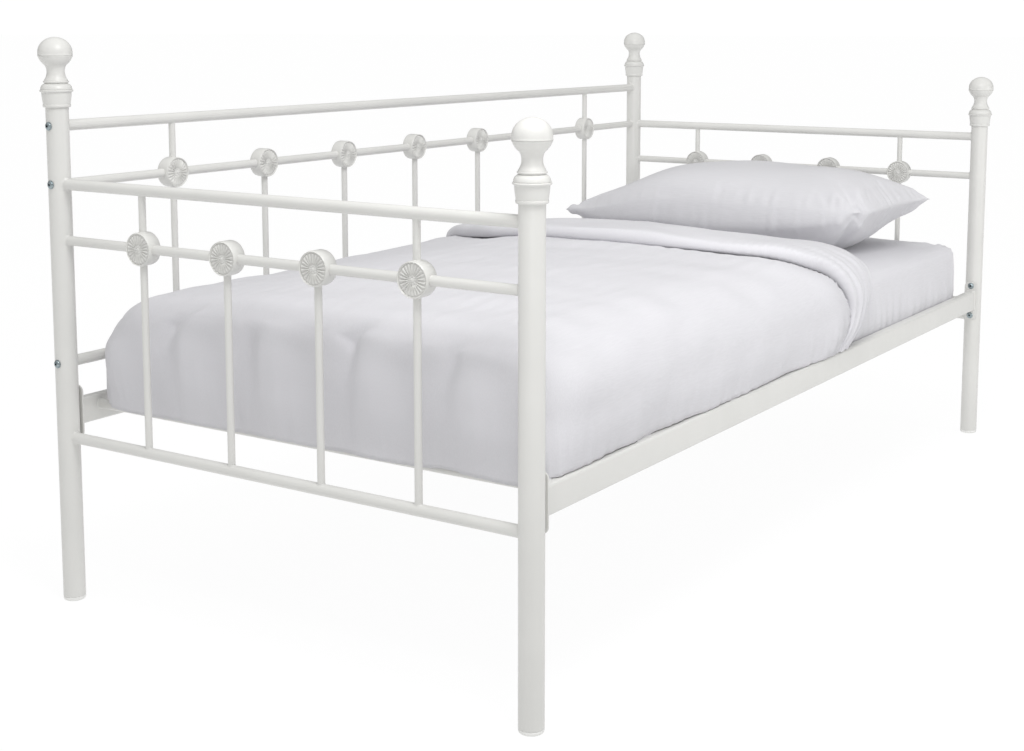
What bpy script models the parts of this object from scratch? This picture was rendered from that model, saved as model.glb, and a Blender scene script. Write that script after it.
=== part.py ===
"""A single metal daybed with its bedding.

Two end panels (foot at -X, head at +X) and a taller back panel (+Y) are made of round posts,
round rails and thin spindles that carry cast rosettes. Two side rails with bolted end plates
carry a welded deck of round tubes. A mattress, a duvet and a pillow lie on the deck.
The origin is on the floor under the middle of the bed, +Z is up and the open front faces -Y.
"""

import math

import bmesh
import bpy
from mathutils import Vector

# Driving dimensions, in metres
POST_SPAN_X = 1.980  # between post centres, along the bed
POST_SPAN_Y = 0.946  # between post centres, across the bed
POST_D = 0.038
POST_WALL = 0.0015
FRONT_HEIGHT = 0.868
BACK_HEIGHT = 0.971
GAP = 0.0003  # left where two pieces touch

FINIAL_HEIGHT = 0.117
SPIGOT_LENGTH = 0.022
SPIGOT_CLEARANCE = 0.0004
FOOT_CAP_HEIGHT = 0.007

RAIL_D = 0.019  # top and bottom rails
MID_RAIL_D = 0.016
SPINDLE_D = 0.012
END_TOP_Z = 0.725
END_MID_Z = 0.630
BOTTOM_Z = 0.289
BACK_TOP_Z = 0.823
BACK_MID_Z = 0.725
BACK_BOTTOM_Z = 0.419

ROSETTE_D = 0.055
ROSETTE_T = 0.027
ROSETTE_BORE = MID_RAIL_D / 2 + GAP
END_PITCH = 0.185
END_COUNT = 4
BACK_PITCH = 0.243
BACK_COUNT = 7

SIDE_RAIL_Z = 0.330
SIDE_RAIL_H = 0.046
SIDE_RAIL_T = 0.020
SIDE_RAIL_WALL = 0.0015
SIDE_RAIL_RADIUS = 0.004
PLATE_T = 0.003
PLATE_W = 0.030
PLATE_H = 0.092
PLATE_RADIUS = 0.011
PLATE_BOLT_OFFSET = 0.036

BOLT_D = 0.006
BOLT_HOLE_D = 0.0068
BOLT_HEAD_D = 0.013
BOLT_HEAD_H = 0.004
SHORT_BOLT_REACH = 0.010  # into the post, past the plate
LONG_BOLT_REACH = 0.018  # into the rail, past the post

DECK_Z = 0.336
DECK_TUBE_D = 0.017
DECK_TUBES = 13
DECK_END_X = 0.925
DECK_TIE_D = 0.012
DECK_TIE_Y = 0.20
DECK_TIE_DROP = 0.0012

MATTRESS_L = 1.900
MATTRESS_W = 0.900
MATTRESS_BOTTOM_Z = DECK_Z + DECK_TUBE_D / 2 + 0.0005
MATTRESS_TOP_Z = 0.478
BEDDING_GAP = 0.0005
DUVET_FOOT_X = -0.958
DUVET_HEAD_X = 0.300
DUVET_FRONT_Y = -0.488
DUVET_BACK_Y = 0.457
DUVET_TOP_Z = 0.562
DUVET_HEM_Z = 0.357
PILLOW_SIZE = (0.44, 0.81, 0.186)
PILLOW_CENTRE = (0.675, -0.012)

POST_X = POST_SPAN_X / 2
POST_Y = POST_SPAN_Y / 2
POST_R = POST_D / 2
INNER_X = POST_X - POST_R  # where the posts' inner sides are tangent
INNER_Y = POST_Y - POST_R
ENDS = {"foot": -1, "head": 1}
SIDES = {"front": -1, "back": 1}

TURN_STEPS = 16
ROSETTE_STEPS = 12
POST_STEPS = 20


def clear_scene():
    for obj in list(bpy.data.objects):
        bpy.data.objects.remove(obj)


def new_collection(name):
    found = bpy.data.collections.new(name)
    bpy.context.scene.collection.children.link(found)
    return found


def principled(name, colour, roughness, metallic=0.0):
    material = bpy.data.materials.new(name)
    material.use_nodes = True
    shader = material.node_tree.nodes["Principled BSDF"]
    shader.inputs["Base Color"].default_value = (*colour, 1.0)
    shader.inputs["Roughness"].default_value = roughness
    shader.inputs["Metallic"].default_value = metallic
    return material


def add_object(name, data, material, hidden=False):
    """A new object for data: a part, or a helper that the render leaves out."""
    obj = bpy.data.objects.new(name, data)
    (CUTTERS if hidden else PARTS).objects.link(obj)
    if hidden:
        obj.hide_render = True
        obj.display_type = "WIRE"
    elif material:
        data.materials.append(material)
    return obj


def mesh_from(name, shape):
    """A mesh made from a bmesh, shaded smooth with its sharp edges kept."""
    mesh = bpy.data.meshes.new(name)
    shape.to_mesh(mesh)
    shape.free()
    mesh.shade_smooth()
    mesh.set_sharp_from_angle(angle=math.radians(35))
    return mesh


def cylinder_into(shape, start, end, radius, segments):
    """Adds a closed cylinder from start to end to a bmesh."""
    start, end = Vector(start), Vector(end)
    along = end - start
    turn = Vector((0, 0, 1)).rotation_difference(along).to_matrix().to_4x4()
    turn.translation = (start + end) / 2
    bmesh.ops.create_cone(
        shape, cap_ends=True, segments=segments, radius1=radius, radius2=radius,
        depth=along.length, matrix=turn,
    )


def rods(name, ends, radius, segments, material=None, hidden=False):
    """One mesh object of separate straight rods, one for each (start, end)."""
    shape = bmesh.new()
    for start, end in ends:
        cylinder_into(shape, start, end, radius, segments)
    return add_object(name, mesh_from(name, shape), material, hidden)


def box(name, low, high, material=None, hidden=False):
    shape = bmesh.new()
    bmesh.ops.create_cube(shape, size=1.0)
    size = [b - a for a, b in zip(low, high)]
    bmesh.ops.scale(shape, verts=shape.verts, vec=size)
    obj = add_object(name, mesh_from(name, shape), material, hidden)
    obj.location = [(a + b) / 2 for a, b in zip(low, high)]
    return obj


def boolean(obj, other, operation):
    modifier = obj.modifiers.new(operation.lower(), "BOOLEAN")
    modifier.operation = operation
    modifier.solver = "EXACT"
    modifier.object = other


def turned(name, profile, steps, material, closed=False, hidden=False):
    """A profile of (radius, height) points, down its outer side, turned about Z."""
    mesh = bpy.data.meshes.new(name)
    count = len(profile)
    edges = [(i, i + 1) for i in range(count - 1)]
    if closed:
        edges.append((count - 1, 0))
    mesh.from_pydata([(r, 0, z) for r, z in profile], edges, [])
    obj = add_object(name, mesh, material, hidden)
    screw = obj.modifiers.new("turn", "SCREW")
    screw.steps = steps
    screw.render_steps = steps
    screw.use_merge_vertices = True
    screw.merge_threshold = 0.00001
    screw.use_smooth_shade = True
    return obj


def rail(name, start, end, diameter, material):
    """A straight round rail as a bevelled curve with filled caps."""
    curve = bpy.data.curves.new(name, "CURVE")
    curve.dimensions = "3D"
    spline = curve.splines.new("POLY")
    spline.points.add(1)
    for point, place in zip(spline.points, (start, end)):
        point.co = (*place, 1.0)
    curve.bevel_depth = diameter / 2
    curve.bevel_resolution = 6
    curve.use_fill_caps = True
    return add_object(name, curve, material)


def as_mesh(curve_object):
    """The same rail as a closed mesh object, so that it can be drilled."""
    graph = bpy.context.evaluated_depsgraph_get()
    mesh = bpy.data.meshes.new_from_object(curve_object.evaluated_get(graph))
    shape = bmesh.new()
    shape.from_mesh(mesh)
    bmesh.ops.remove_doubles(shape, verts=shape.verts, dist=0.00001)
    shape.to_mesh(mesh)
    shape.free()
    name = curve_object.name
    place = curve_object.matrix_world.copy()
    bpy.data.objects.remove(curve_object)
    obj = add_object(name, mesh, None)
    obj.matrix_world = place
    return obj


def rounded_outline(width, height, radius, corner_points=3):
    """The points of a rectangle with round corners, anticlockwise about its centre."""
    points = []
    for turn, (sx, sy) in enumerate(((1, 1), (-1, 1), (-1, -1), (1, -1))):
        centre = (sx * (width / 2 - radius), sy * (height / 2 - radius))
        for step in range(corner_points + 1):
            angle = math.pi / 2 * (turn + step / corner_points)
            points.append((centre[0] + radius * math.cos(angle), centre[1] + radius * math.sin(angle)))
    return points


def circle_outline(centre, radius, count=10):
    steps = [2 * math.pi * i / count for i in range(count)]
    return [(centre[0] + radius * math.cos(a), centre[1] + radius * math.sin(a)) for a in steps]


def extruded(name, outlines, thickness, material):
    """A flat plate in its own XY plane: the first outline less the others."""
    curve = bpy.data.curves.new(name, "CURVE")
    curve.dimensions = "2D"
    curve.fill_mode = "BOTH"
    curve.extrude = thickness / 2
    for outline in outlines:
        spline = curve.splines.new("POLY")
        spline.points.add(len(outline) - 1)
        for point, (x, y) in zip(spline.points, outline):
            point.co = (x, y, 0.0, 1.0)
        spline.use_cyclic_u = True
    return add_object(name, curve, material)


def finial_profile():
    """(radius, height) down a ball on a waist, a ring, a domed flange, a cup and a spigot."""
    ball_r, ball_half, waist_r = 0.0285, 0.0258, 0.0148
    ball_z = FINIAL_HEIGHT - ball_half
    stops = 6
    last = math.radians(148)
    points = [(0.0, FINIAL_HEIGHT)]
    for step in range(1, stops + 1):
        angle = last * step / stops
        points.append((ball_r * math.sin(angle), ball_z + ball_half * math.cos(angle)))
    points += [(waist_r, 0.0585), (0.0190, 0.0450), (0.0196, 0.0420)]
    points += [(0.0192, 0.0395), (0.0250, 0.0320), (0.0274, 0.0275), (0.0246, 0.0235)]
    points += [(0.0215, 0.0)]
    spigot_r = POST_R - POST_WALL - SPIGOT_CLEARANCE
    points += [(spigot_r, 0.0), (spigot_r, -SPIGOT_LENGTH), (0.0, -SPIGOT_LENGTH)]
    return points


def foot_cap_profile():
    """(radius, height) down a spigot, a flush rim and a rounded sole that ends at the floor."""
    spigot_r = POST_R - POST_WALL - SPIGOT_CLEARANCE
    top = FOOT_CAP_HEIGHT + SPIGOT_LENGTH
    points = [(0.0, top), (spigot_r, top), (spigot_r, FOOT_CAP_HEIGHT), (POST_R, FOOT_CAP_HEIGHT)]
    return points + [(POST_R, 0.0035), (POST_R - 0.0012, 0.0010), (POST_R - 0.0035, 0.0), (0.0, 0.0)]


def post_height(side):
    return BACK_HEIGHT if side == "back" else FRONT_HEIGHT


def make_post(end, side):
    """One post: a drilled tube, with a plastic cap in its foot and a cast finial on its top."""
    x, y = ENDS[end] * POST_X, SIDES[side] * POST_Y
    low = FOOT_CAP_HEIGHT + GAP
    high = post_height(side) - FINIAL_HEIGHT - GAP
    inner_r = POST_R - POST_WALL
    wall = [(POST_R, high), (POST_R, low), (inner_r, low), (inner_r, high)]
    post = turned(f"post_{end}_{side}", wall, POST_STEPS, PAINT, closed=True)
    post.location = (x, y, 0)
    inward = -ENDS[end] * 2 * POST_R
    holes = [((x, y, z), (x + inward, y, z)) for z in plate_bolt_heights()]
    if side == "back":
        holes += [((x - inward, y, z), (x + inward, y, z)) for z in back_rail_heights()]
    drill = rods(f"drill_{end}_{side}", holes, BOLT_HOLE_D / 2, 10, hidden=True)
    boolean(post, drill, "DIFFERENCE")
    finial = turned(f"finial_{end}_{side}", finial_profile(), TURN_STEPS, PAINT)
    finial.location = (x, y, post_height(side) - FINIAL_HEIGHT)
    cap = turned(f"foot_cap_{end}_{side}", foot_cap_profile(), TURN_STEPS, PLASTIC)
    cap.location = (x, y, 0)


def plate_bolt_heights():
    return (SIDE_RAIL_Z + PLATE_BOLT_OFFSET, SIDE_RAIL_Z - PLATE_BOLT_OFFSET)


def back_rail_heights():
    return (BACK_TOP_Z, BACK_MID_Z, BACK_BOTTOM_Z)


def make_end_rails(end):
    """The three rails across one end panel, between its front and back posts."""
    x = ENDS[end] * POST_X
    reach = INNER_Y - GAP
    for level, z, diameter in (
        ("top", END_TOP_Z, RAIL_D),
        ("middle", END_MID_Z, MID_RAIL_D),
        ("bottom", BOTTOM_Z, RAIL_D),
    ):
        rail(f"{end}_{level}_rail", (x, -reach, z), (x, reach, z), diameter, PAINT)


def make_back_rails():
    """The three rails of the back panel, drilled at both ends for their bolts."""
    reach = INNER_X - GAP
    depth = LONG_BOLT_REACH + 0.002
    for level, z, diameter in (
        ("top", BACK_TOP_Z, RAIL_D),
        ("middle", BACK_MID_Z, MID_RAIL_D),
        ("bottom", BACK_BOTTOM_Z, RAIL_D),
    ):
        start, end = (-reach, POST_Y, z), (reach, POST_Y, z)
        bar = as_mesh(rail(f"back_{level}_rail", start, end, diameter, PAINT))
        holes = [((s * (reach + 0.01), POST_Y, z), (s * (reach - depth), POST_Y, z)) for s in (-1, 1)]
        drill = rods(f"drill_back_{level}", holes, BOLT_HOLE_D / 2, 10, hidden=True)
        boolean(bar, drill, "DIFFERENCE")


def rosette_profile():
    """(radius, height) down a drum with a raised rim and a domed middle on both faces."""
    half, r = ROSETTE_T / 2, ROSETTE_D / 2
    upper = [(0.0, half - 0.0002), (0.006, half - 0.002), (r - 0.004, half - 0.002), (r - 0.002, half)]
    upper += [(r, half - 0.002)]
    return upper + [(radius, -height) for radius, height in reversed(upper)]


def make_spindle(name, x, y, drum_axis, mid_z, bottom_z, top_z):
    """A rod with its cast rosette. The middle rail runs through the rosette's bore.

    drum_axis is X on an end panel and Y on the back panel. With top_z the rod goes on up
    from the rosette to the top rail.
    """
    drum = turned(f"{name}_drum", rosette_profile(), ROSETTE_STEPS, None, hidden=True)
    drum.location = (x, y, mid_z)
    along_x = drum_axis == "X"
    drum.rotation_euler = (0, math.pi / 2, 0) if along_x else (math.pi / 2, 0, 0)
    low = bottom_z + RAIL_D / 2 + GAP
    high = top_z - RAIL_D / 2 - GAP if top_z else mid_z
    rod = rods(name, [((x, y, low), (x, y, high))], SPINDLE_D / 2, 12, PAINT)
    boolean(rod, drum, "UNION")
    reach = Vector((0, ROSETTE_D, 0)) if along_x else Vector((ROSETTE_D, 0, 0))
    centre = Vector((x, y, mid_z))
    bore = rods(f"{name}_bore", [(centre - reach, centre + reach)], ROSETTE_BORE, 16, hidden=True)
    boolean(rod, bore, "DIFFERENCE")


def centred(count, pitch):
    return [(i - (count - 1) / 2) * pitch for i in range(count)]


def make_spindles():
    """The outer spindle of each row rises to the top rail, and the inner ones stop in the rosette."""
    for end, sign in ENDS.items():
        for number, y in enumerate(centred(END_COUNT, END_PITCH), 1):
            top = END_TOP_Z if number in (1, END_COUNT) else None
            make_spindle(f"{end}_spindle_{number}", sign * POST_X, y, "X", END_MID_Z, BOTTOM_Z, top)
    for number, x in enumerate(centred(BACK_COUNT, BACK_PITCH), 1):
        top = BACK_TOP_Z if number in (1, BACK_COUNT) else None
        make_spindle(f"back_spindle_{number}", x, POST_Y, "Y", BACK_MID_Z, BACK_BOTTOM_Z, top)


def plate_inner_x():
    return INNER_X - GAP - PLATE_T


def make_side_rail(side):
    """A rounded rectangular tube between two flat end plates, each bolted to a post."""
    y = SIDES[side] * POST_Y
    length = 2 * (plate_inner_x() - GAP)
    outer = rounded_outline(SIDE_RAIL_T, SIDE_RAIL_H, SIDE_RAIL_RADIUS)
    inner = rounded_outline(
        SIDE_RAIL_T - 2 * SIDE_RAIL_WALL, SIDE_RAIL_H - 2 * SIDE_RAIL_WALL, SIDE_RAIL_RADIUS - SIDE_RAIL_WALL,
    )
    tube = extruded(f"side_rail_{side}", (outer, inner), length, PAINT)
    tube.rotation_euler = (math.pi / 2, 0, math.pi / 2)
    tube.location = (0, y, SIDE_RAIL_Z)
    holes = [circle_outline((0, s * PLATE_BOLT_OFFSET), BOLT_HOLE_D / 2) for s in (-1, 1)]
    outline = rounded_outline(PLATE_W, PLATE_H, PLATE_RADIUS)
    for end, sign in ENDS.items():
        plate = extruded(f"end_plate_{end}_{side}", (outline, *holes), PLATE_T, PAINT)
        plate.rotation_euler = (math.pi / 2, 0, math.pi / 2)
        plate.location = (sign * (INNER_X - GAP - PLATE_T / 2), y, SIDE_RAIL_Z)


def make_bolt(name, seat, direction, length):
    """A domed bolt: its head stands on seat, and its shank runs along direction (+1 or -1 on X)."""
    head_r, shank_r = BOLT_HEAD_D / 2, BOLT_D / 2
    profile = [(0.0, BOLT_HEAD_H), (head_r * 0.62, BOLT_HEAD_H * 0.8), (head_r, BOLT_HEAD_H * 0.25)]
    profile += [(head_r, 0.0), (shank_r, 0.0), (shank_r, -length), (0.0, -length)]
    bolt = turned(name, profile, 12, ZINC)
    bolt.location = seat
    bolt.rotation_euler = (0, -direction * math.pi / 2, 0)


def make_bolts():
    """Two bolts in each end plate, from inside, and three through each back post, from outside."""
    for end, sign in ENDS.items():
        for side, across in SIDES.items():
            for level, z in zip(("upper", "lower"), plate_bolt_heights()):
                seat = (sign * (plate_inner_x() - GAP), across * POST_Y, z)
                length = PLATE_T + SHORT_BOLT_REACH
                make_bolt(f"rail_bolt_{end}_{side}_{level}", seat, sign, length)
        for level, z in zip(("top", "middle", "bottom"), back_rail_heights()):
            seat = (sign * (POST_X + POST_R + GAP), POST_Y, z)
            length = POST_D + LONG_BOLT_REACH
            make_bolt(f"back_bolt_{end}_{level}", seat, -sign, length)


def make_deck():
    """Round cross tubes between the side rails, joined by two thinner ties that run through them."""
    reach = POST_Y - SIDE_RAIL_T / 2 - GAP
    step = 2 * DECK_END_X / (DECK_TUBES - 1)
    ties = [((-DECK_END_X, s * DECK_TIE_Y, 0), (DECK_END_X, s * DECK_TIE_Y, 0)) for s in (-1, 1)]
    tie_z = DECK_Z - DECK_TIE_DROP
    ties = [((a[0], a[1], tie_z), (b[0], b[1], tie_z)) for a, b in ties]
    places = [-DECK_END_X + step * i for i in range(DECK_TUBES)]
    tubes = [((x, -reach, DECK_Z), (x, reach, DECK_Z)) for x in places]
    deck = rods("mattress_deck", tubes, DECK_TUBE_D / 2, 12, PAINT)
    through = rods("deck_ties", ties, DECK_TIE_D / 2, 8, hidden=True)
    boolean(deck, through, "UNION")


def soften(obj, width, segments):
    bevel = obj.modifiers.new("round", "BEVEL")
    bevel.width = width
    bevel.segments = segments
    bevel.limit_method = "ANGLE"


def make_mattress():
    low = (-MATTRESS_L / 2, -MATTRESS_W / 2, MATTRESS_BOTTOM_Z)
    high = (MATTRESS_L / 2, MATTRESS_W / 2, MATTRESS_TOP_Z)
    mattress = box("mattress", low, high, SHEET)
    soften(mattress, 0.03, 3)


def make_duvet():
    """A thick cover over the top, the front, the back and the foot of the mattress."""
    low = (DUVET_FOOT_X, DUVET_FRONT_Y, DUVET_HEM_Z)
    high = (DUVET_HEAD_X, DUVET_BACK_Y, DUVET_TOP_Z)
    duvet = box("duvet", low, high, SHEET)
    soften(duvet, 0.02, 3)
    half_l, half_w = MATTRESS_L / 2 + BEDDING_GAP, MATTRESS_W / 2 + BEDDING_GAP
    room = box(
        "duvet_room", (-half_l, -half_w, MATTRESS_BOTTOM_Z - 0.05),
        (half_l, half_w, MATTRESS_TOP_Z + BEDDING_GAP), hidden=True,
    )
    boolean(duvet, room, "DIFFERENCE")


def make_pillow():
    """A cushion whose faces close to a thin edge all round and draw out at the four corners."""
    shape = bmesh.new()
    bmesh.ops.create_cube(shape, size=2.0)
    bmesh.ops.subdivide_edges(shape, edges=shape.edges, cuts=3, use_grid_fill=True)
    half = [side / 2 for side in PILLOW_SIZE]
    for vertex in shape.verts:
        u, v, w = vertex.co
        rise = ((1 - 0.92 * u**4) * (1 - 0.92 * v**4)) ** 0.5
        waist = 1 - 0.06 * (1 - v * v)
        flank = 1 - 0.04 * (1 - u * u)
        vertex.co = (half[0] * u * waist, half[1] * v * flank, half[2] * w * rise)
    pillow = add_object("pillow", mesh_from("pillow", shape), SHEET)
    smooth = pillow.modifiers.new("smooth", "SUBSURF")
    smooth.levels = 1
    smooth.render_levels = 1
    pillow.location = (*PILLOW_CENTRE, MATTRESS_TOP_Z + BEDDING_GAP + half[2])


clear_scene()
PARTS = new_collection("daybed")
CUTTERS = new_collection("cutters")
CUTTERS.hide_render = True
PAINT = principled("painted_steel", (0.80, 0.80, 0.77), 0.38)
PLASTIC = principled("foot_plastic", (0.82, 0.82, 0.80), 0.5)
ZINC = principled("zinc_bolt", (0.42, 0.45, 0.46), 0.3, 1.0)
SHEET = principled("cotton", (0.80, 0.79, 0.82), 0.75)

for end_name in ENDS:
    for side_name in SIDES:
        make_post(end_name, side_name)
    make_end_rails(end_name)
make_back_rails()
make_spindles()
for side_name in SIDES:
    make_side_rail(side_name)
make_bolts()
make_deck()
make_mattress()
make_duvet()
make_pillow()
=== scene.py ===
"""The looks of the metal daybed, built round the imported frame.

The tubes, castings and bolts are turned and lofted at full detail from the frame's own places.
The mattress, the duvet with its turned-down band, and the pillow are soft pieces in white cotton.
"""

import math

import bmesh
import bpy
import numpy as np
from mathutils import Matrix, Vector


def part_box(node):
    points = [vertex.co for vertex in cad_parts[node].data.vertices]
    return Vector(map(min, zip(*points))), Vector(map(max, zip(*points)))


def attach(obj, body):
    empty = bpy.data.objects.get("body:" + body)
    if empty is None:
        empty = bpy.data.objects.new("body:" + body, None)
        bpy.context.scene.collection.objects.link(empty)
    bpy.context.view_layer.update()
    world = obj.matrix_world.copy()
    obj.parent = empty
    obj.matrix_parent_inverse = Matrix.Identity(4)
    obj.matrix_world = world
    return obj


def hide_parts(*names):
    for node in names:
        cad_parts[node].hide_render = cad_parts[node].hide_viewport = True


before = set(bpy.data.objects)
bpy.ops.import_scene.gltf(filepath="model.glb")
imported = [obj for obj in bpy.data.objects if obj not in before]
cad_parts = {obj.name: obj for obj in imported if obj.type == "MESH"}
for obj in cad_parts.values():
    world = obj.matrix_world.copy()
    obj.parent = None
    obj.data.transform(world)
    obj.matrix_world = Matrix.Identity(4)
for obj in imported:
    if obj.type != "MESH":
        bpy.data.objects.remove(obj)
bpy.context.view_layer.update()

# Places and sizes read from the frame
ENDS = {"foot": -1, "head": 1}
SIDES = {"front": -1, "back": 1}
PANELS = {"foot": 1, "head": 1, "back": 0}  # and the axis that each one's rails lie along
AXES = [Vector(unit) for unit in ((1, 0, 0), (0, 1, 0), (0, 0, 1))]
POST_LOW, POST_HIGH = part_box("post_head_back")
POST_R = (POST_HIGH.x - POST_LOW.x) / 2
POST_X = (POST_HIGH.x + POST_LOW.x) / 2
POST_Y = (POST_HIGH.y + POST_LOW.y) / 2
BED_LOW, BED_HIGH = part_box("mattress")
PILLOW_LOW, PILLOW_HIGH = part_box("pillow")
RAIL_LOW, RAIL_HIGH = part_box("side_rail_back")
FILLET = 0.0035  # how far a weld's fillet spreads

# The photograph's point of view
CAMERA_PLACE = (-2.7615, -1.6134, 0.9893)
CAMERA_YAW = math.radians(33.512)
CAMERA_PITCH = math.radians(7.316)
CAMERA_LENS = 55.139
CAMERA_SHIFT = -0.145

# Soft studio light: a sky that is bright overhead, a disk above the foot end, a weaker disk in front of
# the bed, and a low narrow spot that reaches the pillow across the duvet
SKY_LEAN = (-0.18, -0.06, 0.98)
SKY_LOW, SKY_HIGH = 0.09, 1.18
KEY_PLACE, KEY_TARGET = (-1.35, -1.0, 2.4), (0, 0, 0.4)
KEY_SIZE, KEY_WATTS = 0.9, 25
SIDE_PLACE, SIDE_TARGET = (0.9, -3.0, 1.0), (0.5, 0, 0.4)
SIDE_SIZE, SIDE_WATTS = 0.8, 11
SPOT_PLACE, SPOT_TARGET = (-2.9, -2.0, 0.74), (0.95, 0.10, 0.64)
SPOT_WATTS, SPOT_ANGLE = 150, math.radians(20)
FLOOR_GLOW, FLOOR_WHITE = 0.93, 0.08
FLOOR_HALF = 150.0


# ---- scene basics


def middle(node):
    """The middle of a node's box."""
    low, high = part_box(node)
    return (low + high) / 2


def add_object(name, data):
    """A new object in the scene."""
    thing = bpy.data.objects.new(name, data)
    bpy.context.scene.collection.objects.link(thing)
    return thing


def make_camera():
    """The photograph's viewing angle."""
    data = bpy.data.cameras.new("camera")
    data.lens = CAMERA_LENS
    data.sensor_width = 36.0
    data.shift_y = CAMERA_SHIFT
    camera = add_object("camera", data)
    camera.location = CAMERA_PLACE
    level = math.cos(CAMERA_PITCH)
    ahead = (math.cos(CAMERA_YAW) * level, math.sin(CAMERA_YAW) * level, -math.sin(CAMERA_PITCH))
    camera.rotation_euler = Vector(ahead).to_track_quat("-Z", "Y").to_euler()
    bpy.context.scene.camera = camera


def add_light(name, kind, place, target, watts):
    """A lamp at place that shines at target. Returns its data."""
    data = bpy.data.lights.new(name, kind)
    data.energy = watts
    light = add_object(name, data)
    light.location = place
    light.rotation_euler = (Vector(target) - Vector(place)).to_track_quat("-Z", "Y").to_euler()
    return data


def disk_light(name, place, target, size, watts):
    data = add_light(name, "AREA", place, target, watts)
    data.shape = "DISK"
    data.size = size


def spot_light(name, place, target, watts, angle):
    data = add_light(name, "SPOT", place, target, watts)
    data.spot_size = angle
    data.spot_blend = 1.0
    data.shadow_soft_size = 0.4


def feed(tree, node, values):
    """Sets a node's inputs, each to a plain value or to the output that is linked to it."""
    for name, value in values.items():
        if isinstance(value, bpy.types.NodeSocket):
            tree.links.new(value, node.inputs[name])
        else:
            node.inputs[name].default_value = value


def map_range(tree, value, start, end, low, high):
    """value, with start to end spread over low to high."""
    level = tree.nodes.new("ShaderNodeMapRange")
    feed(tree, level, {"Value": value, "From Min": start, "From Max": end, "To Min": low, "To Max": high})
    return level.outputs["Result"]


def make_world():
    """A white studio: even in view, and as a light dim at the horizon and bright overhead."""
    world = bpy.data.worlds.new("studio")
    bpy.context.scene.world = world
    world.use_nodes = True
    tree = world.node_tree
    direction = tree.nodes.new("ShaderNodeTexCoord")
    lean = tree.nodes.new("ShaderNodeVectorMath")
    lean.operation = "DOT_PRODUCT"
    feed(tree, lean, {0: direction.outputs["Generated"], 1: SKY_LEAN})
    level = map_range(tree, lean.outputs["Value"], 0.0, 1.0, SKY_LOW, SKY_HIGH)
    path = tree.nodes.new("ShaderNodeLightPath")
    seen = tree.nodes.new("ShaderNodeMix")
    feed(tree, seen, {"Factor": path.outputs["Is Camera Ray"], "A": level, "B": 1.05})
    feed(tree, tree.nodes["Background"], {"Color": (1, 1, 1, 1), "Strength": seen.outputs["Result"]})


def make_floor():
    """A white floor that glows a little, so that it stays white under the bed."""
    mesh = bpy.data.meshes.new("floor")
    corners = [(x * FLOOR_HALF, y * FLOOR_HALF, 0) for x, y in ((-1, -1), (1, -1), (1, 1), (-1, 1))]
    mesh.from_pydata(corners, [], [(0, 1, 2, 3)])
    floor = add_object("floor", mesh)
    material, shader, tree = new_material("floor_white", [FLOOR_WHITE] * 3, 0.9)
    glow = {"Emission Color": (1, 1, 1, 1), "Emission Strength": FLOOR_GLOW, "Specular IOR Level": 0.0}
    feed(tree, shader, glow)
    mesh.materials.append(material)


def make_stage():
    bpy.context.scene.view_settings.view_transform = "Standard"
    make_world()
    disk_light("key", KEY_PLACE, KEY_TARGET, KEY_SIZE, KEY_WATTS)
    disk_light("side", SIDE_PLACE, SIDE_TARGET, SIDE_SIZE, SIDE_WATTS)
    spot_light("head_end", SPOT_PLACE, SPOT_TARGET, SPOT_WATTS, SPOT_ANGLE)
    make_floor()


# ---- materials


def new_material(name, colour, roughness, metallic=0.0):
    material = bpy.data.materials.new(name)
    material.use_nodes = True
    tree = material.node_tree
    shader = tree.nodes["Principled BSDF"]
    feed(tree, shader, {"Base Color": (*colour, 1.0), "Roughness": roughness, "Metallic": metallic})
    return material, shader, tree


def noise(tree, scale, detail=3.0, stretch=(1, 1, 1)):
    """A noise value in object space, with its grain drawn out along the axes where stretch is under 1."""
    place = tree.nodes.new("ShaderNodeTexCoord")
    spread = tree.nodes.new("ShaderNodeVectorMath")
    spread.operation = "MULTIPLY"
    feed(tree, spread, {0: place.outputs["Object"], 1: stretch})
    texture = tree.nodes.new("ShaderNodeTexNoise")
    feed(tree, texture, {"Vector": spread.outputs["Vector"], "Scale": scale, "Detail": detail})
    return texture.outputs["Fac"]


def spread_between(tree, value, low, high):
    """A noise's middle range spread between low and high."""
    return map_range(tree, value, 0.3, 0.7, low, high)


def tint(tree, value, one, other):
    """The colour one where value is 0, the other where it is 1."""
    mix = tree.nodes.new("ShaderNodeMix")
    mix.data_type = "RGBA"
    feed(tree, mix, {"Factor": value, "A": (*one, 1), "B": (*other, 1)})
    return mix.outputs["Result"]


def bump(tree, height, distance, strength, under=None):
    """A bump from a height, on top of the bump under it."""
    node = tree.nodes.new("ShaderNodeBump")
    feed(tree, node, {"Height": height, "Distance": distance, "Strength": strength})
    if under:
        tree.links.new(under, node.inputs["Normal"])
    return node.outputs["Normal"]


def hard_surface(name, colour, roughness, metallic, clouds, gloss, grain):
    """A material with cloudy shades, an uneven gloss and a fine grain.

    clouds is a noise's scale and the two shades, gloss is a noise's scale and detail and the least and
    the most roughness, and grain is a noise's scale and detail and the bump's distance and strength.
    """
    material, shader, tree = new_material(name, colour, roughness, metallic)
    shade = tint(tree, spread_between(tree, noise(tree, clouds[0]), 0.0, 1.0), *clouds[1:])
    dull = spread_between(tree, noise(tree, *gloss[:2]), *gloss[2:])
    relief = bump(tree, noise(tree, *grain[:2]), *grain[2:])
    feed(tree, shader, {"Base Color": shade, "Roughness": dull, "Normal": relief})
    return material


def powder_coat():
    """Off-white powder coat: a fine orange peel with a slightly uneven gloss."""
    clouds = (9.0, (0.655, 0.653, 0.630), (0.685, 0.682, 0.659))
    gloss, peel = (60.0, 2.0, 0.30, 0.42), (420.0, 1.0, 0.0003, 0.22)
    return hard_surface("powder_coat", (0.670, 0.667, 0.645), 0.36, 0.0, clouds, gloss, peel)


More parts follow.
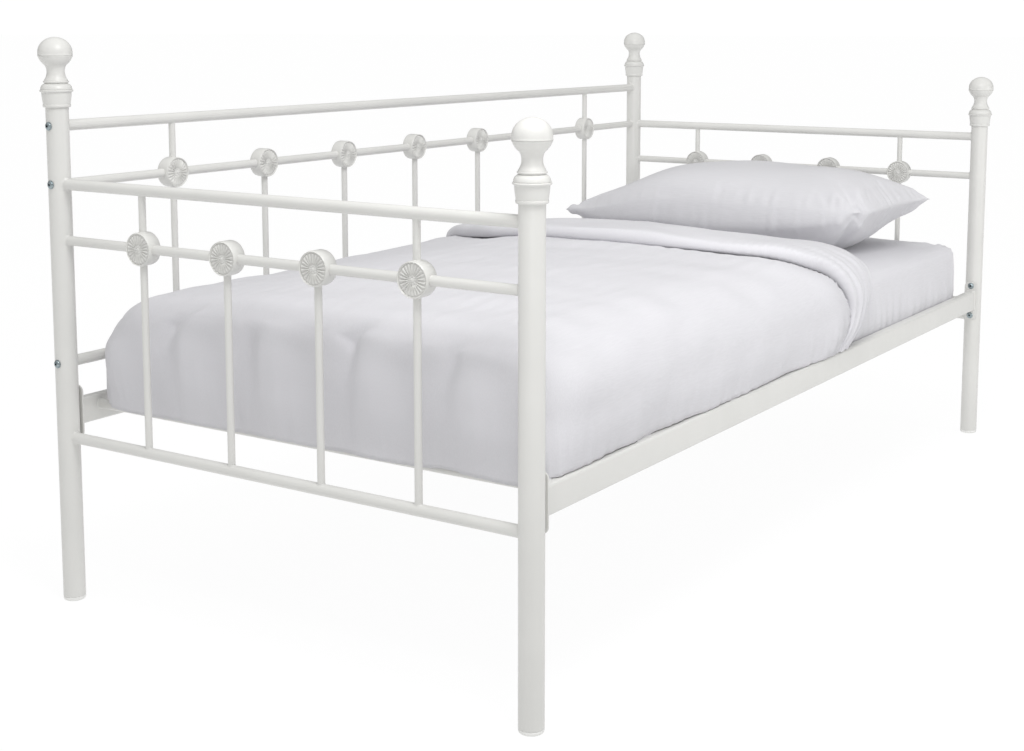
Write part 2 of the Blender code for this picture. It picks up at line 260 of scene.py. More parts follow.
def zinc():
    """Blue-passivated zinc with a rubbed, uneven sheen."""
    clouds = (300.0, (0.22, 0.28, 0.31), (0.42, 0.47, 0.48))
    gloss, rubbed = (900.0, 3.0, 0.22, 0.45), (1500.0, 3.0, 0.0002, 0.15)
    return hard_surface("zinc", (0.30, 0.36, 0.38), 0.32, 1.0, clouds, gloss, rubbed)


def white_plastic():
    """Moulded plastic with a fine grain."""
    clouds = (40.0, (0.77, 0.77, 0.75), (0.82, 0.82, 0.80))
    gloss, grain = (200.0, 3.0, 0.42, 0.60), (1100.0, 3.0, 0.0002, 0.2)
    return hard_surface("white_plastic", (0.80, 0.80, 0.78), 0.5, 0.0, clouds, gloss, grain)


def socket_painted_shade():
    """Painted shade: a near-black material for the inside of a bolt's socket, where shade falls."""
    material, shader, tree = new_material("socket_painted_shade", (0.02, 0.02, 0.02), 0.7)
    feed(tree, shader, {"Roughness": spread_between(tree, noise(tree, 500.0), 0.5, 0.9)})
    return material


def cotton(name, colour, grain):
    """Plain-woven cotton: fine threads both ways, slubs along the warp, and soft creases."""
    material, shader, tree = new_material(name, colour, 0.82)
    along_x, along_y = (1.0, 40.0, 12.0), (40.0, 1.0, 12.0)
    warp = noise(tree, 30.0, 4.0, along_x if grain == "x" else along_y)
    weft = noise(tree, 30.0, 4.0, along_y if grain == "x" else along_x)
    darker, lighter = ([min(1.0, c * part) for c in colour] for part in (0.965, 1.02))
    woven = tint(tree, spread_between(tree, warp, 0.0, 1.0), darker, lighter)
    dull = spread_between(tree, weft, 0.74, 0.90)
    threads = bump(tree, warp, 0.0004, 0.35)
    threads = bump(tree, weft, 0.0004, 0.35, threads)
    creases = bump(tree, noise(tree, 14.0, 5.0), 0.006, 0.16, threads)
    feed(tree, shader, {"Base Color": woven, "Roughness": dull, "Normal": creases})
    feed(tree, shader, {"Sheen Weight": 0.18, "Sheen Roughness": 0.5, "Specular IOR Level": 0.25})
    return material


# ---- mesh utilities


def new_piece(name, mesh, material, body, slot, *nodes):
    """Links a piece, gives it its material, hangs it on its body's empty, and hides the frame's nodes that
    it stands for.
    """
    piece = add_object(name, mesh)
    if not mesh.materials:
        mesh.materials.append(material)
    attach(piece, body)
    if nodes:
        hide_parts(*nodes)
    return piece


def finished(name, shape, sharp=40):
    """A mesh from a bmesh, its doubles merged and its faces smooth up to a sharp angle."""
    bmesh.ops.remove_doubles(shape, verts=shape.verts, dist=0.00002)
    bmesh.ops.recalc_face_normals(shape, faces=shape.faces)
    mesh = bpy.data.meshes.new(name)
    shape.to_mesh(mesh)
    shape.free()
    mesh.shade_smooth()
    mesh.set_sharp_from_angle(angle=math.radians(sharp))
    return mesh


def frame_piece(node, shape, material, slot="powder_coat", sharp=40):
    """The finished piece that replaces one of the frame's nodes."""
    new_piece(f"fine_{node}", finished(node, shape, sharp), material, "frame", slot, node)


def aim(direction):
    """The rotation that turns +Z to direction."""
    return Vector((0, 0, 1)).rotation_difference(Vector(direction)).to_matrix().to_4x4()


def loft(shape, rings, close_ends=True):
    """Quads between closed rings of equally many points."""
    loops = [[shape.verts.new(point) for point in ring] for ring in rings]
    count = len(loops[0])
    for lower, upper in zip(loops, loops[1:]):
        for i in range(count):
            j = (i + 1) % count
            shape.faces.new((lower[i], lower[j], upper[j], upper[i]))
    if close_ends:
        shape.faces.new(list(reversed(loops[0])))
        shape.faces.new(loops[-1])


def around(steps):
    """The angles of that many points round a circle."""
    return [2 * math.pi * i / steps for i in range(steps)]


def circle(place, radius, height, steps):
    """Points on a circle round place's Z."""
    return [place @ Vector((radius * math.cos(a), radius * math.sin(a), height)) for a in around(steps)]


def fillet(spread, bands):
    """A quarter-round fillet's steps, as (away from the one wall, away from the other)."""
    turns = [math.pi / 2 * band / bands for band in range(bands + 1)]
    return [(spread * (1 - math.sin(t)), spread * (1 - math.cos(t))) for t in turns]


def turn(shape, profile, steps, place=None):
    """Turns (radius, height) points about Z, with poles where the radius is 0."""
    place = place or Matrix.Identity(4)
    rings = []
    for radius, height in profile:
        points = circle(place, radius, height, steps if radius > 1e-6 else 1)
        rings.append([shape.verts.new(p) for p in points])
    for lower, upper in zip(rings, rings[1:]):
        for i in range(steps):
            j = (i + 1) % steps
            corners = [lower[i % len(lower)], lower[j % len(lower)]]
            corners += [upper[j % len(upper)], upper[i % len(upper)]]
            corners = list(dict.fromkeys(corners))
            if len(corners) > 2:
                shape.faces.new(corners)


def cylinder(shape, start, end, radius, steps=40):
    """A closed cylinder from start to end."""
    start, end = Vector(start), Vector(end)
    length = (end - start).length
    place = Matrix.Translation(start) @ aim(end - start)
    turn(shape, [(0, 0), (radius, 0), (radius, length), (0, length)], steps, place)


def arc(centre, radius, start, end, steps, squash=1.0):
    """(radius, height) points along an arc about centre, in degrees from straight up."""
    angles = [math.radians(start + (end - start) * i / steps) for i in range(steps + 1)]
    return [(centre[0] + radius * math.sin(a), centre[1] + squash * radius * math.cos(a)) for a in angles]


def between(p, q, r, s, t):
    """The smooth curve's value from q (t = 0) to r (t = 1), with p before them and s after."""
    bend = 2 * p - 5 * q + 4 * r - s
    twist = 3 * q - p - 3 * r + s
    return 0.5 * (2 * q + (r - p) * t + bend * t * t + twist * t**3)


def through(points, steps=5):
    """A smooth line through (radius, height) points."""
    padded = [points[0], *points, points[-1]]
    line = []
    for before, a, b, after in zip(padded, padded[1:], padded[2:], padded[3:]):
        for i in range(steps):
            t = i / steps
            line.append(tuple(between(p, q, r, s, t) for p, q, r, s in zip(before, a, b, after)))
    return [*line, points[-1]]


# ---- metal, in detail


def finial_profile():
    """Down from the ball: seam, neck, ring, domed flange, cup and lip, as (radius, height) in metres."""
    # in millimetres up to the last line
    ball = arc((0, 90.7), 28.4, 0, 96, 22, 0.925)
    seam = [(28.7, 86.9), (28.8, 86.4), (28.6, 86.1), (27.7, 85.8), (28.2, 85.4), (28.4, 84.8)]
    lower_ball = arc((0, 90.7), 28.4, 107, 139, 8, 0.925)
    neck = through([(17.9, 70.2), (16.1, 67.0), (15.0, 62.5), (14.8, 58.6), (15.2, 54.5), (16.6, 50.0),
                    (18.8, 46.0), (19.5, 44.6)])
    ring = [(19.3, 44.2), (20.6, 43.6), (21.1, 42.4), (20.7, 41.3), (19.4, 40.8), (18.8, 40.3)]
    dome = through([(19.0, 39.7), (21.4, 38.4), (23.8, 36.3), (25.2, 33.6), (25.9, 30.9), (25.9, 29.9)])
    flange = [(25.2, 29.5), (26.6, 29.1), (27.4, 28.2), (27.5, 27.4), (27.2, 26.5), (26.3, 25.8),
              (25.0, 25.4)]
    cup = through([(24.6, 24.6), (24.2, 19.0), (23.4, 12.0), (22.4, 5.4)])
    lip = [(22.3, 5.0), (22.8, 4.7), (23.0, 4.0), (22.9, 1.6), (22.5, 0.6), (21.6, 0.1), (18.6, 0.0), (0, 0)]
    whole = ball + seam + lower_ball + neck + ring + dome + flange + cup + lip
    return [(r / 1000, z / 1000) for r, z in whole]


def add_weld(shape, centre, direction, radius, host_r, host_axis, spread=FILLET):
    """A soft fillet where a tube along direction leaves a round host that is centred on centre.

    direction is along X, Y or Z. host_axis is the host's own axis, another of these.
    """
    direction, host_axis = Vector(direction), Vector(host_axis)
    other = direction.cross(host_axis)
    rings = []
    for away, along in fillet(spread, 5):  # away from the tube's wall, along it from the host's
        ring = []
        for a in around(36):
            uneven = 1 + 0.12 * math.sin(3 * a + 40 * centre[0]) + 0.10 * math.sin(5 * a + 55 * centre[1])
            reach = radius + away * uneven - 0.0003
            side, up = reach * math.cos(a), reach * math.sin(a)
            wall = math.sqrt(max(host_r**2 - side**2, 0.0))
            point = Vector(centre) + other * side + host_axis * up
            ring.append(point + direction * (wall + along * uneven - 0.0003))
        rings.append(ring)
    loft(shape, rings, close_ends=False)


def add_plate_weld(shape, centre, half_width, half_height, corner, direction, spread=0.0025):
    """A soft fillet round a rounded rectangular tube where it meets a plate across X."""
    rings = []
    for away, along in fillet(spread, 4):
        outline = rounded_outline(half_width + away, half_height + away, corner + away, 4)
        rings.append([Vector(centre) + Vector((direction * along, y, z)) for y, z in outline])
    loft(shape, rings, close_ends=False)


def rounded_outline(half_width, half_height, corner, steps):
    """A rectangle with round corners, as points round its middle."""
    points = []
    for turn_index, (sx, sy) in enumerate(((1, 1), (-1, 1), (-1, -1), (1, -1))):
        for step in range(steps + 1):
            a = math.pi / 2 * (turn_index + step / steps)
            across = sx * (half_width - corner) + corner * math.cos(a)
            points.append((across, sy * (half_height - corner) + corner * math.sin(a)))
    return points


def make_posts(paint, plastic):
    """Each post with its finial on top and its plastic cap below."""
    for end, along in ENDS.items():
        for side, across in SIDES.items():
            node = f"post_{end}_{side}"
            low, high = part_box(node)
            place = Matrix.Translation((along * POST_X, across * POST_Y, 0))
            shape = bmesh.new()
            bottom, top = low.z, high.z + 0.0003
            round_off = 0.0006
            profile = [(0, top), (POST_R, top), (POST_R, bottom + round_off), (POST_R - round_off, bottom)]
            turn(shape, [*profile, (0, bottom)], 64, place)
            frame_piece(node, shape, paint)

            node = f"finial_{end}_{side}"
            shape = bmesh.new()
            turn(shape, finial_profile(), 72, Matrix.Translation((0, 0, top)) @ place)
            frame_piece(node, shape, paint, sharp=55)

            node = f"foot_cap_{end}_{side}"
            shape = bmesh.new()
            sole = arc((POST_R - 0.0042, 0.0042), 0.0042, 90, 180, 8)
            wall = [(0, bottom), (POST_R - 0.0008, bottom), (POST_R - 0.0003, bottom - 0.0005)]
            turn(shape, [*wall, *sole, (0, 0)], 64, place)
            frame_piece(node, shape, plastic, "foot_plastic")


def tube_ends(node, axis):
    """A CAD rail's two ends on its axis and its radius."""
    low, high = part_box(node)
    centre = (low + high) / 2
    start, end = centre.copy(), centre.copy()
    start[axis], end[axis] = low[axis], high[axis]
    other = (axis + 1) % 3
    return start, end, (high[other] - low[other]) / 2


def make_rails(paint):
    """The round rails, with a weld at each end on its post."""
    into = 0.0015  # how far a rail runs into its posts
    for panel, axis in PANELS.items():
        for level in ("top", "middle", "bottom"):
            node = f"{panel}_{level}_rail"
            start, end, radius = tube_ends(node, axis)
            shape = bmesh.new()
            cylinder(shape, start - into * AXES[axis], end + into * AXES[axis], radius)
            for tip, sign in ((start, 1), (end, -1)):
                inward = sign * AXES[axis]
                add_weld(shape, tip - POST_R * inward, inward, radius, POST_R, AXES[2])
            frame_piece(node, shape, paint)


def petal_height(r, angle, petals=22):
    """The relief of a rosette's face above its ground, for r from 0 to 1: rim, rays, beads and boss."""
    rim = 2.6 * math.exp(-(((r - 0.945) / 0.038) ** 4))
    taper = min(1, max(0, (r - 0.27) / 0.10)) * min(1, max(0, (0.87 - r) / 0.07))
    ray = 2.6 * taper**0.5 * abs(math.cos(angle * petals / 2)) ** 1.8
    beads = 1.9 * math.exp(-(((r - 0.195) / 0.050) ** 2)) * (0.5 + 0.5 * math.cos(angle * 8)) ** 0.7
    boss = 2.5 * math.exp(-((r / 0.095) ** 2)) + 0.35 * math.exp(-((r / 0.24) ** 4))
    return 0.001 * max(rim, ray, beads, boss)


def add_rosette(shape, centre, direction, radius, thick):
    """A cast drum with a daisy in relief on both faces."""
    rings, steps = 32, 154
    edge = 0.0012
    ground = thick / 2 - 0.0028
    for sign in (1, -1):
        place = Matrix.Translation(centre) @ aim(Vector(direction) * sign)
        rows = []
        for i in range(rings + 1):
            r = i / rings * 0.975
            row = []
            for a in around(steps):
                height = ground + petal_height(r, a)
                row.append(place @ Vector((radius * r * math.cos(a), radius * r * math.sin(a), height)))
                if i == 0:
                    break
            rows.append([shape.verts.new(p) for p in row])
        for out, height in ((0.985, ground + 0.0004), (1.0, ground - edge), (1.0, 0.0)):
            rows.append([shape.verts.new(p) for p in circle(place, radius * out, height, steps)])
        for inner, outer in zip(rows, rows[1:]):
            for j in range(steps):
                k = (j + 1) % steps
                corners = [inner[j % len(inner)], outer[j], outer[k], inner[k % len(inner)]]
                shape.faces.new(list(dict.fromkeys(corners)))


def make_spindles(paint):
    """Each rod with its cast rosette, a weld at each rail, and a fillet under the drum."""
    rod_r = 0.006
    into = 0.001  # how far a rod runs into its drum and its rails
    for node in sorted(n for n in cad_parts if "_spindle_" in n):
        low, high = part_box(node)
        panel = node.split("_")[0]
        axis = PANELS[panel]
        row, face = AXES[axis], AXES[1 - axis]
        drum_r, thick = (high - low)[axis] / 2, (high - low)[1 - axis]
        centre = (low + high) / 2
        centre.z = middle(f"{panel}_middle_rail").z
        top_rail, bottom_rail = (middle(f"{panel}_{level}_rail").z for level in ("top", "bottom"))
        rail_r = tube_ends(f"{panel}_bottom_rail", axis)[2]
        shape = bmesh.new()
        add_rosette(shape, centre, face, drum_r, thick)
        rails = [(bottom_rail, -1), (top_rail, 1)] if high.z > top_rail - 0.02 else [(bottom_rail, -1)]
        for z, sign in rails:
            rail, out = Vector((centre.x, centre.y, z)), sign * AXES[2]
            tips = [rail - out * (rail_r - into), centre + out * (drum_r - into)]
            cylinder(shape, *sorted(tips, key=lambda tip: tip.z), rod_r, 32)
            add_weld(shape, rail, -out, rod_r, rail_r, row, 0.0028)
            add_weld(shape, centre, out, rod_r, drum_r, face, 0.0022)
        frame_piece(node, shape, paint, sharp=50)


def make_end_plate(node, paint):
    """A flat plate across X with round corners and broken edges."""
    low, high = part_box(node)
    centre, half = (low + high) / 2, (high - low) / 2
    edge, corner = 0.0007, 0.012
    shape = bmesh.new()
    rings = []
    for x, shrink in ((low.x, edge), (low.x + edge, 0), (high.x - edge, 0), (high.x, edge)):
        points = rounded_outline(half.y - shrink, half.z - shrink, corner - shrink, 8)
        rings.append([Vector((x, centre.y + y, centre.z + z)) for y, z in points])
    loft(shape, rings)
    frame_piece(node, shape, paint)


def make_side_rails(paint):
    """Rounded rectangular tubes, welded between their end plates."""
    for side in SIDES:
        node = f"side_rail_{side}"
        low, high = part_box(node)
        centre = (low + high) / 2
        half_w, half_h, corner = (high.y - low.y) / 2, (high.z - low.z) / 2, 0.0045
        outline = rounded_outline(half_w, half_h, corner, 6)
        shape = bmesh.new()
        rings = [[Vector((x, centre.y + y, centre.z + z)) for y, z in outline] for x in (low.x, high.x)]
        loft(shape, rings)
        for x, sign in ((low.x, 1), (high.x, -1)):
            add_plate_weld(shape, (x, centre.y, centre.z), half_w, half_h, corner, sign)
        frame_piece(node, shape, paint)
        for end in ENDS:
            make_end_plate(f"end_plate_{end}_{side}", paint)


BOLT_R, BOLT_H = 0.0065, 0.0040  # a bolt's head
SOCKET_R, SOCKET_DEPTH = 0.0023, 0.0024


def bolt_place(node):
    """The middle of the seat of a bolt's head, with +Z out of the head."""
    low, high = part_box(node)
    centre = (low + high) / 2
    end = ENDS[node.split("_")[2]]
    head_out = -end if node.startswith("rail_bolt") else end
    tip = high.x if head_out > 0 else low.x
    seat = tip - head_out * BOLT_H
    return Matrix.Translation((seat, centre.y, centre.z)) @ aim((head_out, 0, 0))


def bolt_rings(place):
    """Rings over the washer face and the domed head and down into the socket, and the rim's height."""
    steps = 48
    slopes = [math.radians(90 - 6.5 * i) for i in range(11)]
    dome = [(BOLT_R * math.sin(a), BOLT_H * (0.22 + 0.78 * math.cos(a))) for a in slopes]
    washer = [(BOLT_R * 1.12, -0.0004), (BOLT_R * 1.12, 0.0006), (BOLT_R, 0.0009)]
    rings = [circle(place, r, z, steps) for r, z in washer + dome]
    hexagon = []
    for a in around(steps):
        nearest = (a + math.pi / 6) % (math.pi / 3) - math.pi / 6
        reach = SOCKET_R * math.cos(math.pi / 6) / math.cos(nearest)
        hexagon.append((reach * math.cos(a), reach * math.sin(a)))
    rim = dome[-1][1]
    for height in (rim, rim - 0.0003, rim - SOCKET_DEPTH):
        rings.append([place @ Vector((x, y, height)) for x, y in hexagon])
    return rings, rim


def make_bolts(metal, socket_shade):
    """Button heads with a hexagon socket whose inside is painted near black as shade, on a thin washer face.
    """
    for node in sorted(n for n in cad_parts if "bolt" in n):
        place = bolt_place(node)
        rings, rim = bolt_rings(place)
        shape = bmesh.new()
        loft(shape, rings)
        mesh = finished(node, shape, 35)
        mesh.materials.append(metal)
        mesh.materials.append(socket_shade)
        back = place.inverted()
        # the faces inside the socket get the near-black material: painted shade in the recess
        for face in mesh.polygons:
            spot = back @ face.center
            in_socket = math.hypot(spot.x, spot.y) < SOCKET_R * 1.02
            if in_socket and rim - SOCKET_DEPTH - 1e-5 <= spot.z < rim - 0.0002:
                face.material_index = 1
        new_piece(f"fine_{node}", mesh, metal, "frame", "zinc", node)


def make_deck(paint):
    """Cross tubes with a weld at each side rail, joined by two ties that run through them."""
    low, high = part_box("mattress_deck")
    tube_r, tie_r, tubes, tie_y = 0.0085, 0.006, 13, 0.20
    steps, weld, gap = 28, 0.003, 0.0003
    z = high.z - tube_r
    first, last = low.x + tube_r, high.x - tube_r
    shape = bmesh.new()
    for i in range(tubes):
        x = first + (last - first) * i / (tubes - 1)
        cylinder(shape, (x, low.y - gap, z), (x, high.y + gap, z), tube_r, steps)
        for edge, sign in ((low.y, -1), (high.y, 1)):
            rings = []
            for away, along in fillet(weld, 4):
                r, y = tube_r + away, edge - sign * along
                rings.append([Vector((x + r * math.cos(a), y, z + r * math.sin(a))) for a in around(steps)])
            loft(shape, rings, close_ends=False)
    for y in (-tie_y, tie_y):
        cylinder(shape, (first, y, z), (last, y, z), tie_r, 20)
    frame_piece("mattress_deck", shape, paint)


# ---- soft goods


def smooth(x, low, high):
    """0 below low, 1 above high, and an S between."""
    t = np.clip((x - low) / (high - low), 0, 1)
    return t * t * (3 - 2 * t)


def bell(x, centre, width):
    """1 at the centre, dying away over about width."""
    return np.exp(-(((x - centre) / width) ** 2))


def hump(t, power=2):
    """1 at 0, falling to 0 at -1 and at 1."""
    return np.clip(1 - np.abs(t) ** power, 0, 1)


def ripple(points, wavelengths, seed, waves=18):
    """A smooth random field of about unit size, with its own wavelength along each axis."""
    rng = np.random.default_rng(seed)
    total = np.zeros(len(points))
    for _ in range(waves):
        direction = rng.normal(size=3)
        direction /= np.linalg.norm(direction)
        stretch = rng.uniform(0.7, 1.4)
        wave = 2 * math.pi * direction * stretch / np.array(wavelengths)
        total += np.cos(points @ wave + rng.uniform(0, 2 * math.pi))
    return total * math.sqrt(2 / waves)


def wrap(raw, low, high, low_radii, high_radii):
    """Raw points of a block drawn in onto its elliptical edges. A radius of 0 leaves that side square."""
    low, high, near, far = (np.array(v, float) for v in (low, high, low_radii, high_radii))
    inner = np.clip(raw, low + near, high - far)
    radii = np.where(raw < inner, near, far)
    out = (raw - inner) / np.maximum(radii, 1e-9)
    length = np.linalg.norm(out, axis=1, keepdims=True)
    return inner + radii * out / np.maximum(length, 1e-9)


def block_grid(low, high, cell, skip=()):
    """Points and quads over the sides of a block, less those in skip, such as ("z", -1)."""
    counts = [max(2, round((b - a) / cell)) for a, b in zip(low, high)]
    lines = [np.linspace(a, b, n + 1) for a, b, n in zip(low, high, counts)]
    index, faces = {}, []
    for axis in range(3):
        u, v = [a for a in range(3) if a != axis]
        for sign in (-1, 1):
            if ("xyz"[axis], sign) in skip:
                continue
            for a in range(counts[u]):
                for b in range(counts[v]):
                    corners = []
                    for da, db in ((0, 0), (1, 0), (1, 1), (0, 1)):
                        place = [0, 0, 0]
                        place[axis] = counts[axis] if sign > 0 else 0
                        place[u], place[v] = a + da, b + db
                        corners.append(index.setdefault(tuple(place), len(index)))
                    flip = (sign > 0) == (axis == 1)
                    faces.append(corners[::-1] if flip else corners)
    return np.array([[line[i] for line, i in zip(lines, place)] for place in index]), faces


def mesh_of(name, points, faces):
    """A smooth mesh of points and faces."""
    mesh = bpy.data.meshes.new(name)
    mesh.from_pydata([tuple(p) for p in points], [], faces)
    mesh.update()
    mesh.shade_smooth()
    return mesh


def normals_of(points, faces):
    """Unit normals at the points of a quad mesh."""
    quads = np.array(faces)
    a = points[quads[:, 2]] - points[quads[:, 0]]
    b = points[quads[:, 3]] - points[quads[:, 1]]
    across = np.cross(a, b)
    normals = np.zeros_like(points)
    for corner in range(4):
        np.add.at(normals, quads[:, corner], across)
    return normals / np.maximum(np.linalg.norm(normals, axis=1, keepdims=True), 1e-12)


def make_cloth(name, points, faces, fabric, thickness, *nodes):
    """A piece of the duvet: its outer skin with a thickness inwards."""
    piece = new_piece(name, mesh_of(name, points, faces), fabric, "bedding", "duvet_cotton", *nodes)
    shell = piece.modifiers.new("thickness", "SOLIDIFY")
    shell.thickness = thickness
    shell.offset = -1.0


HEM_Z = 0.340  # the duvet's hem at the foot end
ON_DECK, ON_RAIL = 0.006, 0.0142  # how much higher the hem lies on the deck's tubes and on a side rail
BAND_END_Z = 0.356  # the band's two ends
DUVET_TOP = 0.548
SKIN_LOW = (-0.963, -0.488, HEM_Z)
SKIN_HIGH = (0.50, 0.457, DUVET_TOP)
SKIN_NEAR = (0.105, 0.125, 0.0)  # the edges' radii at the foot and the front
SKIN_FAR = (0.0, 0.090, 0.100)  # and at the back and the top
HEM_NEAR = (0.045, 0.040, 0.0)  # the same near the hem, where the corners are squarer
HEM_FAR = (0.0, 0.085, 0.100)


def skin(raw):
    """The duvet's outer skin at raw block points: rounded, crowned, and tucked in at the hems."""
    p = wrap(raw, SKIN_LOW, SKIN_HIGH, SKIN_NEAR, SKIN_FAR)
    square = wrap(raw, SKIN_LOW, SKIN_HIGH, HEM_NEAR, HEM_FAR)
    share = 1 - smooth(raw[:, 2:], 0.345, 0.44)
    p += (square - p) * share
    x, y, z = p.T
    crown = 0.019 * hump(y / 0.40) * smooth(x, -0.98, -0.70)
    droop = 0.026 * smooth(y, 0.08, 0.40) * (1 - 0.30 * smooth(x, -0.95, -0.30))
    p[:, 2] += crown * smooth(z, 0.50, 0.545) - droop * smooth(z, 0.40, 0.53)
    low = 1 - smooth(z, HEM_Z, 0.43)
    p[:, 1] += smooth(-y, 0.30, 0.46) * 0.015 * low**1.6
    p[:, 1] -= smooth(y, 0.30, 0.44) * 0.006 * low**1.4
    p[:, 0] += smooth(-x, 0.86, 0.95) * 0.010 * low**1.4
    return p


def section_distance(raw):
    """How far along the cross-section a raw point lies from the top's middle, positive to the front."""
    distance = np.abs(raw[:, 1]) + (DUVET_TOP - raw[:, 2])
    return np.where(raw[:, 1] < 0, distance, -distance)


def hem_line(s):
    """The band's hem, in x, along the section."""
    return np.interp(
        s, (-0.66, -0.45, -0.33, -0.2, 0, 0.2, 0.35, 0.45, 0.53, 0.60, 0.64, 0.68, 0.71),
        (0.11, 0.07, -0.02, -0.105, -0.11, -0.08, -0.035, 0.030, 0.090, 0.132, 0.122, 0.092, 0.075),
    )


def fold_line(s):
    """The band's folded edge, in x, along the section."""
    return np.interp(
        s, (-0.66, -0.45, -0.2, 0, 0.2, 0.35, 0.45, 0.53, 0.60, 0.66, 0.71),
        (0.24, 0.22, 0.21, 0.25, 0.315, 0.320, 0.305, 0.305, 0.270, 0.215, 0.165),
    )


def foot_folds(raw):
    """Soft folds that run over the foot end and down it: a groove, with a swell on its front side."""
    x, y, z = raw.T
    path = np.where(z > DUVET_TOP - 0.001, SKIN_LOW[0] - x, DUVET_TOP - z)  # 0 at the foot's upper edge
    depth = np.zeros(len(raw))
    # a fold's place across the bed, its strength, where on the top it starts, and how it wanders
    for centre, size, top, wander in ((0.268, 1.1, -0.065, 0.9), (0.092, 0.8, -0.02, 2.1),
                                      (-0.105, 1.3, -0.070, 3.3), (-0.292, 1.0, -0.050, 4.6)):
        bend = 0.45 * np.clip(-path, 0, 0.2)
        line = centre - bend + 0.005 * np.sin(path * 21 + wander) - 0.04 * np.clip(path, 0, 0.2)
        width = 0.018 + 0.08 * np.clip(path, 0, 0.2)
        along = smooth(path, top, top + 0.09) * (1 - 0.50 * smooth(path, 0.02, 0.13))
        along *= 1 - 0.6 * smooth(path, 0.13, 0.20)
        groove = -1.0 * bell(y, line, width)
        swell = 0.45 * bell(y, line - 2.4 * width, 2.1 * width)
        depth += 0.0190 * size * along * (groove + swell)
    return depth * smooth(-x, 0.68, 0.86)


def crease_gathers(raw, s, reach):
    """Pleats that run into the crease under the band's hem, strongest on the front shoulder."""
    where = smooth(s, 0.34, 0.52) * bell(reach, 0.015, 0.055)
    wander = 0.5 * ripple(raw, (0.12, 0.12, 0.12), 5)
    return 0.0021 * where * np.sin(2 * math.pi * (s * 0.55 + reach * 0.9) / 0.0105 + 2.0 * wander)


def crease_dip(s, reach):
    """A swell before the crease, and the dip of the cover under the band's hem."""
    swell = (0.003 + 0.003 * smooth(s, 0.35, 0.5)) * bell(reach, 0.060, 0.045)
    # where the dip starts past the hem: under it at the back, before it on the front shoulder
    opening = np.interp(s, (0.10, 0.32, 0.44, 0.52, 0.60, 0.66),
                        (0.005, -0.004, -0.007, -0.011, -0.010, -0.004))
    return swell - 0.024 * smooth(-reach - opening, 0.0, 0.014)


def cover_softness(raw):
    """The cover's slow unevenness, with fine hanging wrinkles low on its faces."""
    x, y, z = raw.T
    soft = 0.0022 * ripple(raw, (0.50, 0.42, 0.30), 11) + 0.0010 * ripple(raw, (0.13, 0.17, 0.12), 12)
    low = 1 - smooth(z, 0.36, 0.47)
    side = smooth(np.abs(y), 0.42, 0.47)
    fine_side = 0.0007 * low * side * ripple(raw, (0.018, 0.5, 0.16), 13)
    end_face = smooth(-x, 0.93, 0.96)
    fine_end = 0.0007 * low * end_face * ripple(raw, (0.5, 0.020, 0.15), 14)
    fine_top = 0.0004 * ripple(raw, (0.20, 0.03, 0.5), 15)
    return soft + fine_side + fine_end + fine_top


def make_duvet(fabric):
    """The duvet's main part: a puffed cover over the top, the sides and the foot, dipping at the crease."""
    start, end = -0.45, 0.14  # the columns from start on draw in to end just past the hem
    raw, faces = block_grid(SKIN_LOW, (end, *SKIN_HIGH[1:]), 0.0075, skip=(("x", 1), ("z", -1)))
    s = section_distance(raw)
    hem = hem_line(s)
    share = np.clip((raw[:, 0] - start) / (end - start), 0, 1)
    finer = 1 - (1 - share) ** 1.7  # closer columns towards the crease
    raw[:, 0] = np.where(share > 0, start + finer * (hem + 0.020 - start), raw[:, 0])
    reach = hem - raw[:, 0]  # how far the point is from the crease, towards the foot
    base = skin(raw)
    move = crease_dip(s, reach) + cover_softness(raw) + foot_folds(raw) + crease_gathers(raw, s, reach)
    points = base + normals_of(base, faces) * move[:, None]
    over_rail = smooth(np.abs(points[:, 1]), 0.449, 0.460)
    over_deck = smooth(points[:, 0], -0.950, -0.936)
    points[:, 2] = np.maximum(points[:, 2], HEM_Z + ON_DECK * over_deck)
    points[:, 2] = np.maximum(points[:, 2], HEM_Z + ON_RAIL * over_rail)
    make_cloth("duvet_cover", points, faces, fabric, 0.006, "duvet")


def eased(values, reach=15):
    """values smoothed along themselves with a soft window."""
    window = np.hanning(2 * reach + 1)
    return np.convolve(np.pad(values, reach, mode="edge"), window / window.sum(), "valid")


def band_columns():
    """The band's columns from its hem, over it and round the fold, as (stretch, how far along it)."""
    columns = [("hem", math.radians(-90 + 15 * i)) for i in range(12)]
    columns += [("flat", i / 48) for i in range(49)]
    columns += [("round", math.pi * i / 18) for i in range(1, 19)]
    return columns + [("under", i / 6) for i in range(1, 7)]


def band_section(stretch, t, hem, fold, thick, roll, fall, at_hem):
    """A column's x, its height over the skin, and how much of the wrinkles it takes."""
    seat = -0.004  # the hem sinks a little into the crease
    crest = seat + 2 * roll
    last = fold - thick
    if stretch == "hem":
        height = seat + roll * (1 + math.sin(t))
        return hem + roll - roll * math.cos(t), height, 0.5 + 0.5 * math.sin(t)
    if stretch == "flat":
        height = crest - fall * t**1.3 + 0.005 * math.sin(math.pi * t) * (1 - 0.6 * at_hem)
        return hem + roll + (last - hem - roll) * t, height, 1.0
    if stretch == "round":
        return last + thick * math.sin(t), crest - fall - thick * (1 - math.cos(t)), 1.0
    return last - 0.05 * t, crest - fall - 2 * thick, 0.0


def band_wrinkles(s, phase):
    """A fan of pleats low on the front with finer ones on the shoulder, and gathers along the hem."""
    lower = smooth(s, 0.46, 0.66)
    fan = 0.0030 * lower * np.sin(phase * 26 + 1.3 * np.sin(s * 9 + 1) + 1.5)
    fan += 0.0012 * lower * np.sin(phase * 57 + 1.1 * np.sin(s * 14) + 0.4)
    fan += 0.0010 * smooth(s, 0.36, 0.52) * np.sin(phase * 41 + s * 21)
    gather = 0.0007 * smooth(s, 0.26, 0.40) * (1 - lower) * bell(phase, 0.05, 0.25)
    return fan, gather * np.sin(s * 420 + 3 * np.sin(s * 31) + phase * 9)


